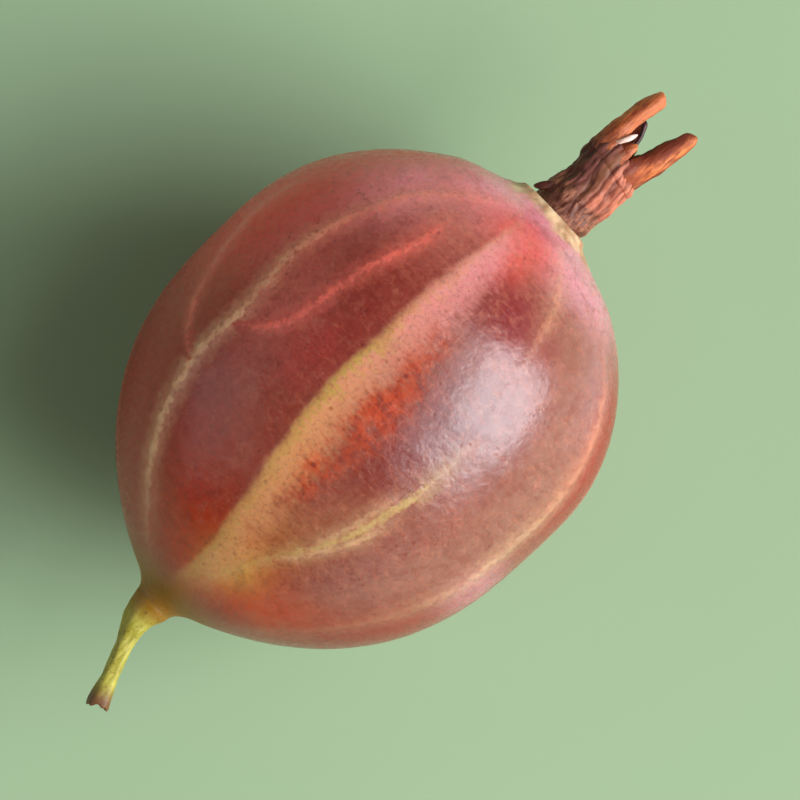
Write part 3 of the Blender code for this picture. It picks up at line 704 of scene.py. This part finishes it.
def make_skin():
    """The berry: skin with veins standing slightly proud, its neck and its collar."""
    x, radii = np.array(berry_profile()).T
    places = np.clip((x / HALF_LENGTH + 1) / 2, 0, 1)
    azimuths = np.arange(SKIN_COLUMNS) * 360 / SKIN_COLUMNS
    wide = np.maximum(radii, MM)
    ridge, vein, power, tints = vein_masks(places, wide, azimuths)
    band_ridge, across, band = band_masks(places, wide, azimuths)
    smooth = polar(x[:, None], radii[:, None], azimuths)
    relief = np.maximum(ridge, band_ridge) + (lumps(smooth, SWELL) + lumps(smooth, DIMPLES, seed=1))
    heights = relief * ease(*RIDGE_RISE, radii)[:, None]
    lumpy = lumps(smooth, COLLAR_LUMPS, seed=2) * ease(*COLLAR_LUMPS_RUN, x)[:, None]
    points = polar(x[:, None], radii[:, None] + heights + lumpy, azimuths)

    masks = {name: patch_mask(smooth, patches) for name, patches in WASHES.items()}
    masks["cream"] = ease(*CREAM_RUN, x[:, None] + lumps(smooth, CREAM_HEM, seed=3))
    masks["blotch"] = patch_mask(smooth, BLOTCH_PATCHES)
    masks["flowerward"] = ease(*FLOWERWARD, places)[:, None]
    masks["gilt"] = band * blend(1, 0.3, ease(*GILT_DIMS, places))[:, None]
    masks["verdant"] = np.exp(-(((x - GREENEST_X) / GREEN_REACH) ** 2))[:, None]
    fade = (ease(*VEIN_RISES, places) * (1 - ease(*VEIN_ENDS, places)))[:, None]
    pink, pink_share = PINK_FLOWERWARD
    tints = blend(tints, pink, pink_share * masks["flowerward"])
    masks.update(vein=vein, vein_power=power * fade, vein_tint=tints, across=across, band=band)

    points[..., 1] += COLLAR_SHIFT * ease(*COLLAR_SHIFT_RUN, x)[:, None]
    points += (spot_x, 0, AXIS_HEIGHT)
    points[..., 2] = np.maximum(points[..., 2], 0)
    closed_piece("berry_skin", points, masks, "berry", skin_look())


def stalk_line(count):
    """(point, direction, distance out of the neck) at even steps from the root's end to the tip."""
    step = (STALK_ROOT_DEPTH + STALK_LENGTH) / (count - 1)
    point = np.array([STALK_ROOT_DEPTH, 0.0, 0.0])
    line = []
    for i in range(count):
        out = i * step - STALK_ROOT_DEPTH
        turn = math.radians(STALK_TURN) * ease(0, STALK_BEND_LENGTH, out)
        droop = math.radians(STALK_DROOP) * ease(0, STALK_LENGTH, out)
        direction = np.array([-math.cos(turn) * math.cos(droop), -math.sin(turn), -math.sin(droop)])
        line.append((point.copy(), direction, out))
        point += direction * step
    return line


def stalk_look():
    look = Look("stalk_green", STALK_COLOURS)
    streaks = look.noise(2.6, detail=3.0, roughness=0.6, stretch=(0.35, 1.6, 1.6))
    look.colour = look.mixed(look.fitted(streaks, 0.3, 0.7), "green", "yellow")
    look.wash("root", "root")
    look.wash("tip", "tip")
    look.wash(look.fitted(look.noise(7, detail=1.0), 0.6, 0.7, 0.0, 0.45), "dot")
    look.set(Base_Color=look.colour, Roughness=look.fitted(streaks, 0.3, 0.7, 0.42, 0.6))
    look.glow(0.15, (1.0, 0.9, 0.3), 0.3 * MM)
    look.bump(streaks, 0.03 * MM, 0.6)
    return look.material


def make_stalk():
    """The short stalk, ribbed and bent, with a torn swollen tip."""
    angles = math.tau * np.arange(STALK_COLUMNS) / STALK_COLUMNS
    tear = 0.1 * np.sin(2 * angles + 1) + 0.05 * np.sin(7 * angles)
    rings, outs = [], []
    for point, direction, out in stalk_line(STALK_RINGS):
        side = np.cross(direction, (0, 0, 1))
        side /= np.linalg.norm(side)
        above = np.cross(side, direction)
        flare = blend(STALK_ROOT_RADIUS, STALK_WAIST, ease(*STALK_FLARE, out) ** 0.6)
        swollen = (STALK_TIP_RADIUS - STALK_WAIST) * ease(STALK_LENGTH - 1.3 * MM, STALK_LENGTH, out)
        ribs = STALK_RIB_DEPTH * np.cos(STALK_RIBS * angles + 0.25 * out / MM)
        radius = ((flare + swollen) * (1 + ribs * ease(0, 0.8 * MM, out)))[:, None]
        torn = tear * ease(STALK_LENGTH - 0.6 * MM, STALK_LENGTH, out) * MM
        around = side * np.cos(angles)[:, None] + above * np.sin(angles)[:, None]
        rings.append(point + around * radius + direction * torn[:, None])
        outs.append(out)
    for share in (0.8, 0.5, 0.25):
        sunk = direction * 0.05 * MM * (1 - share)
        rings.append(point + (rings[-1] - point) * share - sunk)
        outs.append(out)
    points, outs = np.array(rings[::-1]), np.array(outs[::-1])
    height, size = STALK_LUMPS
    swelling = rough_field(points, size, seed=3) * ease(0, 0.6 * MM, outs)[:, None]
    middle = points.mean(axis=1, keepdims=True)
    points = middle + (points - middle) * (1 + height * swelling[..., None])
    masks = {
        "root": (1 - ease(-0.1 * MM, 1.0 * MM, outs))[:, None],
        "tip": ease(STALK_LENGTH - 1.2 * MM, STALK_LENGTH - 0.2 * MM, outs)[:, None],
    }
    points += (spot_x + NECK_X, 0, AXIS_HEIGHT)
    closed_piece("stalk_ribbed", points, masks, "stalk", stalk_look())


def in_place(points):
    """Points of the dried flower's own frame, moved to where it sits in the collar."""
    lean = math.radians(FLOWER_LEAN)
    x = points[..., 0] * math.cos(lean) + points[..., 1] * math.sin(lean)
    y = -points[..., 0] * math.sin(lean) + points[..., 1] * math.cos(lean)
    placed = np.stack([x, y, points[..., 2]], axis=-1)
    return placed + (spot_x + FLOWER_PIVOT_X, COLLAR_SHIFT, AXIS_HEIGHT)


def tube_shift(places):
    return traced(TUBE_SHIFT, np.minimum(places, TUBE_SHIFT[-1][0]))


def folds(places, azimuths):
    """(height in mm, crease from 0 to 1) of the dried wall's creases, which run mostly lengthwise."""
    places = places[:, None]
    wall = polar(0.3 * places, WALL_RADIUS, azimuths + 7 * places)
    rough = np.minimum(1, np.abs(rough_field(wall, FOLD_SIZE, seed=4, octaves=3)) / 0.42)
    crinkle = rough_field(polar(0.6 * places, WALL_RADIUS, azimuths), CRINKLE_SIZE, seed=5)
    return FOLD_DEPTH * (rough - 0.62) + CRINKLE_DEPTH * crinkle, 1 - ease(0.06, 0.34, rough)


def wall_masks(places, azimuths, outside, crease):
    """Where the dried wall has which colour, by azimuth: salmon as painted light on the side that faces
    the key light, olive and mauve bands beside it, the dark ground as painted shade on the side turned
    away, and darker creases and inside as painted shade.
    """
    azimuths = (azimuths + 180) % 360 - 180
    places, shown = places[:, None], outside[:, None]
    lit_salmon = ease(2, 24, azimuths) * (1 - ease(135, 170, azimuths))
    return {
        "lit_salmon": lit_salmon * blend(0.35, 1.0, ease(0.5, 1.5, places)) * shown,
        "olive": np.exp(-(((azimuths + 3) / 10) ** 2)) * shown,
        "mauve": np.exp(-(((azimuths + 24) / 11) ** 2)) * shown,
        "foot": (1 - ease(0.75, 1.35, places)) * shown,
        # Painted shade: darker in the creases, and all over the inside.
        "crease_shade": np.where(shown > 0, 0.6 * crease, 0.8),
    }


def tube_look():
    look = Look("tube_dry", TUBE_COLOURS)
    streaks = look.noise(1.7, detail=4.0, roughness=0.65, stretch=(0.3, 1.2, 1.2), distortion=0.5)
    fine = look.noise(5.0, detail=3.0, roughness=0.7, stretch=(0.45, 1.0, 1.0))
    blots = look.noise(1.0, detail=3.0, roughness=0.6)
    look.colour = look.mixed(look.fitted(streaks, 0.35, 0.65), "dark", "brown")
    look.wash(look.times("mauve", 0.8), "mauve")
    look.wash(look.times("olive", 0.55), "olive")
    # Painted light: salmon on the side that faces the key light. The dark ground left elsewhere is
    # painted shade.
    warm = look.mixed(look.fitted(streaks, 0.36, 0.62), "warm", "lit_salmon")
    look.wash(look.times("lit_salmon", 0.95), warm)
    stripes = look.mixed(look.fitted(fine, 0.4, 0.6), "foot", "foot_stripe")
    ragged = look.plus("foot", look.fitted(blots, 0.3, 0.7, -0.5, 0.5))
    look.wash(look.fitted(ragged, 0.3, 0.7, 0.0, 0.9), stripes)
    look.wash(look.fitted(blots, 0.56, 0.7, 0.0, 0.45), "blot")
    # Painted shade in the creases and inside the tube.
    look.wash("crease_shade", "crease_shade")
    look.wash(look.fitted(fine, 0.54, 0.74, 0.0, 0.4), "grain")
    look.set(Base_Color=look.colour, Roughness=look.fitted(fine, 0.3, 0.7, 0.45, 0.7))
    look.glow(0.1, (1.0, 0.5, 0.3), 0.25 * MM)
    look.set(Specular_IOR_Level=0.4)
    look.bump(look.plus(look.times(streaks, 0.5), look.times(fine, 0.5)), 0.07 * MM, 0.8)
    return look.material


def walk(stations, step):
    """Numbers interpolated smoothly at even steps through stations, whose first one is the place."""
    places = [station[0] for station in stations]
    count = max(2, round((places[-1] - places[0]) / step))
    at = np.linspace(places[0], places[-1], count)
    columns = [at]
    for column in range(1, len(stations[0])):
        points = [(station[0], station[column]) for station in stations]
        columns.append(traced(points, at))
    return columns


def make_tube():
    """The shrivelled flower tube, creased lengthwise, open at its far end, and a flake at its foot."""
    out_x, out_radius = walk(TUBE_OUTSIDE, TUBE_STEP)
    in_x, in_radius = walk(TUBE_INSIDE[::-1], 2 * TUBE_STEP)
    x = np.concatenate([out_x, TUBE_LIP[:1], in_x[::-1], TUBE_FLOOR[:1]])
    radii = np.concatenate([out_radius, TUBE_LIP[1:], in_radius[::-1], TUBE_FLOOR[1:]])
    outside = np.repeat([1.0, 0.0], [len(out_x), len(in_x) + 2])
    azimuths = np.arange(TUBE_COLUMNS) * 360 / TUBE_COLUMNS
    height, crease = folds(x, azimuths)
    freed = (ease(0.0, 0.5, x) * blend(0.4, 1.0, outside))[:, None]
    points = polar(x[:, None], radii[:, None] + height * freed, azimuths)
    points[..., 1] += tube_shift(x)[:, None]
    jagged = outside * ease(-0.15, 0.2, x) * (1 - ease(0.4, 1.0, x))
    torn = rough_field(points * (0, 1, 1), FOOT_TEAR_SIZE, seed=6)
    points[..., 0] += FOOT_TEAR * jagged[:, None] * torn
    masks, look = wall_masks(x, azimuths, outside, crease), tube_look()
    closed_piece("calyx_tube_dry", in_place(points * MM), masks, "calyx_tube", look)
    points = strand(FLAKE, ((0, 0.16), (0.5, 0.17), (1, 0.07)), flatness=0.4)
    masks = {"lit_salmon": 0.0, "olive": 0.0, "mauve": 0.0, "foot": 0.3, "crease_shade": 0.6}
    closed_piece("calyx_tube_flake", in_place(points * MM), masks, "calyx_tube", look)


def sepal_look():
    look = Look("sepal_dry", SEPAL_COLOURS)
    streaks = look.noise(2.6, detail=5.0, roughness=0.7, stretch=(0.22, 1.5, 1.5), distortion=0.3)
    fine = look.noise(6.0, detail=3.0, roughness=0.7, stretch=(0.4, 1, 1))
    blots = look.noise(1.3, detail=3.0, roughness=0.6)
    look.colour = look.mixed(look.fitted(streaks, 0.4, 0.6), "brown", "orange")
    look.wash("root", "root")
    look.wash("tip", "tip")
    # A painted highlight along the sepal's crest.
    look.wash(look.times("crest_highlight", look.fitted(streaks, 0.35, 0.6)), "crest_highlight")
    # Painted light along the sepal's lower edge.
    look.wash("lit_edge", "lit_edge")
    look.wash("shade", "shade")
    look.wash(look.fitted(blots, 0.48, 0.62, 0.0, 0.55), "blot")
    look.wash(look.fitted(fine, 0.52, 0.72, 0.0, 0.55), "grain")
    look.set(Base_Color=look.colour, Roughness=look.fitted(fine, 0.3, 0.7, 0.45, 0.68))
    look.glow(0.15, (1.0, 0.4, 0.2), 0.3 * MM)
    look.set(Specular_IOR_Level=0.45)
    look.bump(look.plus(look.times(streaks, 0.7), look.times(fine, 0.3)), 0.12 * MM, 0.9)
    return look.material


def sepal_points(number, azimuth, twist, stations):
    """(points, masks) of one dried sepal: a thin sheet whose edges roll inwards, closed all round."""
    start, reach = stations[0][0], stations[-1][0]
    share = (1 - np.cos(math.pi * np.arange(SEPAL_RINGS) / (SEPAL_RINGS - 1))) / 2
    x = blend(start, reach, share)
    crest, bend, half_width = (traced([(s[0], s[n]) for s in stations], x) for n in (1, 2, 3))
    blunt = SEPAL_BLUNT_END / (reach - start)
    closing = np.sqrt(np.clip(1 - np.maximum(0, (share - 1 + blunt) / blunt) ** 2, 0.01, 1))
    edge = np.concatenate([np.linspace(-1, 1, SEPAL_ACROSS), np.linspace(1, -1, SEPAL_ACROSS)])
    inner = np.repeat([0.0, 1.0], SEPAL_ACROSS)
    ragged = 1 + 0.1 * wobble(9 * share, number, 3)
    turn = edge * (half_width / bend * ragged * blend(0.75, 1, closing))[:, None]
    thickness = SEPAL_THICKNESS * inner * (1 - 0.6 * edge**4)
    radius = np.maximum((bend * closing)[:, None] - thickness, 0.01)
    side = radius * np.sin(turn)
    raised = (crest - 0.35 * bend * (1 - closing) - bend * closing)[:, None] + radius * np.cos(turn)
    swing = np.radians(twist) * ease(0.1, 1, share)[:, None]
    middle = (crest - bend)[:, None]
    side, raised = (
        side * np.cos(swing) - (raised - middle) * np.sin(swing),
        middle + side * np.sin(swing) + (raised - middle) * np.cos(swing),
    )
    side += 0.04 * wobble(4 * share, number, 8)[:, None]
    outward, sideways = polar(0, 1, azimuth), polar(0, 1, azimuth + 90)
    points = np.zeros(side.shape + (3,))
    points[..., 0] = x[:, None]
    points += outward * raised[..., None] + sideways * side[..., None]
    crease = rough_field(points * (0.2, 1, 1), SEPAL_CREASE_SIZE, seed=10 + number, octaves=3)
    outer = 1 - inner
    raised = SEPAL_CREASE * crease * closing[:, None] * outer
    points += outward * raised[..., None]
    points[..., 1] += tube_shift(x)[:, None]
    masks = {
        "root": (1 - ease(0.05, 0.35, share))[:, None] * 0.8,
        "tip": ease(0.6, 1.0, share)[:, None] * 0.6,
        # A painted highlight along the middle of the outer face.
        "crest_highlight": outer * np.exp(-(((edge + 0.05) / 0.22) ** 2)) * ease(0.15, 0.5, share)[:, None] * 0.6,
        # Painted light along one edge of the outer face.
        "lit_edge": outer * ease(0.3, 0.6, edge) * 0.7,
        "shade": np.maximum(inner * 0.85, outer * ease(-0.28, -0.6, edge) * 0.75),
    }
    return points, masks


def sleeve_points():
    """(points, masks) of the torn sleeve, as a net closed in both directions."""
    azimuths = np.arange(TUBE_COLUMNS) * 360 / TUBE_COLUMNS
    around = (azimuths + 180) % 360 - 180
    torn = rough_field(polar(0, 1.4, azimuths), SLEEVE_TEAR_SIZE, seed=22)
    rim = traced(SLEEVE_RIM, around) + SLEEVE_TEAR * torn
    out, back = SLEEVE_OUTER_RINGS, SLEEVE_INNER_RINGS
    share = np.concatenate([np.linspace(0, 1, out), np.linspace(1, 0.1, back)])
    inner = np.repeat([0.0, 1.0], [out, back])
    radius = blend(1.25, 1.35, ease(0, 0.35, share)) - 0.13 * ease(0.5, 1, share)
    radius -= inner * SLEEVE_THICKNESS
    radius[out - 1] -= 0.03
    x = SLEEVE_START + share[:, None] * (rim - SLEEVE_START)
    places = SLEEVE_START + share * (SLEEVE_END - SLEEVE_START)
    height, crease = folds(places, azimuths)
    points = polar(x, radius[:, None] + height, azimuths)
    points[..., 1] += tube_shift(places)[:, None]
    return points, wall_masks(places, azimuths, 1 - inner, crease)


def make_sepals():
    """The five dried sepals and the torn sleeve at the tube's mouth that they grow from."""
    look = sepal_look()
    for number, sepal in enumerate(SEPALS):
        points, masks = sepal_points(number, *sepal)
        net = points.shape[:2]
        masks = {name: np.broadcast_to(mask, net)[:, ::-1] for name, mask in masks.items()}
        points = in_place(points[:, ::-1] * MM)
        closed_piece(f"sepal_{number + 1}", points, masks, "sepals", look)
    points, masks = sleeve_points()
    ring_piece("sepal_sleeve", in_place(points * MM), masks, "sepals", tube_look())


def ring_piece(name, points, masks, node, material):
    """A shown piece from a net of points that is closed in both directions."""
    rings, columns = points.shape[:2]
    index = np.arange(rings * columns).reshape(rings, columns)
    beside, above = np.roll(index, -1, axis=1), np.roll(index, -1, axis=0)
    quads = np.stack([index, beside, np.roll(above, -1, axis=1), above], axis=-1).reshape(-1, 4)
    vertices, net = points.reshape(-1, 3), (rings, columns)
    shown_piece(name, vertices, quads.tolist(), masks, net, node, material)


def strand(path, widths, flatness=1.0, columns=12, rings=34, facing=(0, 0, 1)):
    """Rings of points round a smooth path through points, as wide as widths say along it."""
    places = np.linspace(0, 1, len(path))
    shares = (1 - np.cos(np.linspace(0, math.pi, rings))) / 2
    angles = math.tau * np.arange(columns) / columns
    tracks = [list(zip(places, heights)) for heights in zip(*path)]

    def centre(share):
        return np.array([along(track, share) for track in tracks])

    made = []
    for share in shares:
        ahead, behind = centre(min(1, share + 0.02)), centre(max(0, share - 0.02))
        direction = (ahead - behind) / np.linalg.norm(ahead - behind)
        side = np.cross(direction, facing)
        side /= np.linalg.norm(side)
        above = np.cross(side, direction)
        width = along(widths, share) * math.sqrt(max(0.004, 1 - abs(2 * share - 1) ** 10))
        around = side * np.cos(angles)[:, None] + above * np.sin(angles)[:, None] * flatness
        made.append(centre(share) + around * width)
    return np.array(made)


def heart_look(name, dark, light, gloss):
    look = Look(name, {"dark": dark, "light": light})
    streaks = look.noise(3.0, detail=3.0, roughness=0.65, stretch=(0.4, 1.2, 1.2))
    look.set(Base_Color=look.mixed(look.fitted(streaks, 0.35, 0.65), "dark", "light"), Roughness=gloss)
    look.glow(0.15, (1.0, 0.6, 0.4), 0.2 * MM)
    look.bump(streaks, 0.04 * MM, 0.7)
    return look.material


def make_heart():
    """What is left inside the tube: the button, withered stamens, petals and the forked style."""
    brown = heart_look("stamen_brown", (66, 30, 26), (112, 58, 44), 0.55)
    black = heart_look("stamen_black", (44, 16, 22), (74, 28, 32), 0.45)
    pale = heart_look("petal_pale", (214, 168, 148), (250, 226, 214), 0.45)
    ochre = heart_look("style_ochre", (160, 92, 58), (206, 138, 96), 0.55)

    def shown(name, points, look):
        closed_piece(name, in_place(points * MM), {}, "flower_heart", look)

    tilt = np.radians(np.linspace(4, 176, 22))[:, None]
    button_x = HEART_ROOT + 0.05 - BUTTON_HALF_HEIGHT * np.cos(tilt)
    button = polar(button_x, BUTTON_RADIUS * np.sin(tilt), np.arange(40) * 9.0)
    button += BUTTON_LUMP * rough_field(button, BUTTON_LUMP_SIZE, seed=30)[..., None]
    shown("heart_button", button, brown)
    half_way = np.array((0, 0.5, 1))
    stamen_widths = ((0, 0.12), (0.6, 0.08), (0.85, 0.17), (1, 0.13))
    petal_widths = ((0, 0.14), (0.6, 0.28), (1, 0.18))
    for part, ((reach, tip_out), petal_reach) in enumerate(zip(STAMENS, PETALS)):
        azimuth = 36 + 72 * part
        azimuths = (azimuth, azimuth + 6, azimuth - 14 * (-1) ** part)
        filament = polar(blend(HEART_ROOT, reach, half_way), (0.4, 0.46, tip_out), azimuths)
        shown(f"stamen_{part + 1}", strand(filament, stamen_widths, flatness=0.8), brown)
        azimuths = (azimuth + 36, azimuth + 34, azimuth + 30)
        petal = polar(blend(HEART_ROOT, petal_reach, half_way), (0.4, 0.5, 0.42), azimuths)
        facing = polar(0, 1, azimuth + 36)
        shown(f"petal_{part + 1}", strand(petal, petal_widths, flatness=0.3, facing=facing), pale)
    hook_widths = ((0, 0.1), (0.6, 0.09), (0.8, 0.1), (0.93, 0.13), (1, 0.1))
    shown("stamen_5", strand(HOOK, hook_widths), black)
    crescent_widths = ((0, 0.08), (0.5, 0.09), (0.8, 0.11), (1, 0.05))
    shown("petal_5", strand(CRESCENT, crescent_widths, flatness=0.6), pale)
    for number, side in enumerate((-1, 1)):
        style = (
            (HEART_ROOT, 0, 0.03 * side),
            (blend(HEART_ROOT, STYLE_REACH, 0.6), 0.05 * side, 0.03),
            (STYLE_REACH, 0.16 * side, 0.12 * side),
        )
        shown(f"style_{number + 1}", strand(style, ((0, 0.18), (0.6, 0.12), (1, 0.12))), ochre)


def make_floor():
    """A plain pale green floor."""
    mesh = bpy.data.meshes.new("floor")
    corners = [(x * FLOOR_HALF, y * FLOOR_HALF, 0) for x, y in ((-1, -1), (1, -1), (1, 1), (-1, 1))]
    mesh.from_pydata(corners, [], [(0, 1, 2, 3)])
    look = Look("floor_green", FLOOR_COLOURS)
    tone = look.fitted(look.noise(0.02, detail=1.0), 0.3, 0.7)
    look.set(Base_Color=look.mixed(tone, "green", "pale_green"))
    look.set(Roughness=0.75, Specular_IOR_Level=0.2)
    mesh.materials.append(look.material)
    floor = placed("floor", mesh)


def make_light(name, direction, distance, size, watts, colour, roll):
    """A soft rectangular light that faces the berry's middle, rolled about its own axis."""
    lamp = bpy.data.lights.new(name, "AREA")
    lamp.shape = "RECTANGLE"
    lamp.size, lamp.size_y = size
    lamp.energy = watts
    lamp.color = colour
    holder = placed(name, lamp)
    back = Vector(direction).normalized()
    holder.location = Vector((0, 0, AXIS_HEIGHT)) + back * distance
    turn = back.to_track_quat("Z", "Y").to_matrix() @ Matrix.Rotation(math.radians(roll), 3, "Z")
    holder.rotation_euler = turn.to_euler()


def make_lights():
    """A key light and a fill light, each with a wider, weaker one behind it, and a faint sky."""
    for name, light in LIGHTS.items():
        make_light(name, *light)
    world = bpy.data.worlds.new("studio")
    world.use_nodes = True
    background = world.node_tree.nodes["Background"]
    background.inputs["Color"].default_value = SKY_COLOUR
    background.inputs["Strength"].default_value = SKY_STRENGTH
    scene.world = world


def make_camera():
    """A long lens that looks straight down, turned so that the stalk points to the lower left."""
    data = bpy.data.cameras.new("camera")
    data.lens = LENS
    data.sensor_width = SENSOR
    data.clip_start = 0.005
    data.clip_end = 20
    camera = placed("camera", data)
    turn = math.radians(VIEW_TURN)
    right = Vector((math.cos(turn), math.sin(turn), 0))
    above = Vector((-math.sin(turn), math.cos(turn), 0))
    middle = right * VIEW_MIDDLE[0] + above * VIEW_MIDDLE[1]
    camera.location = middle + Vector((0, 0, AXIS_HEIGHT + VIEW_WIDTH * LENS / SENSOR))
    camera.rotation_euler = (0, 0, turn)
    scene.camera = camera


spot_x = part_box("berry")[0].x - NECK_X
make_skin()
make_stalk()
make_tube()
make_sepals()
make_heart()
make_floor()
make_lights()
make_camera()
scene.view_settings.view_transform = "Standard"
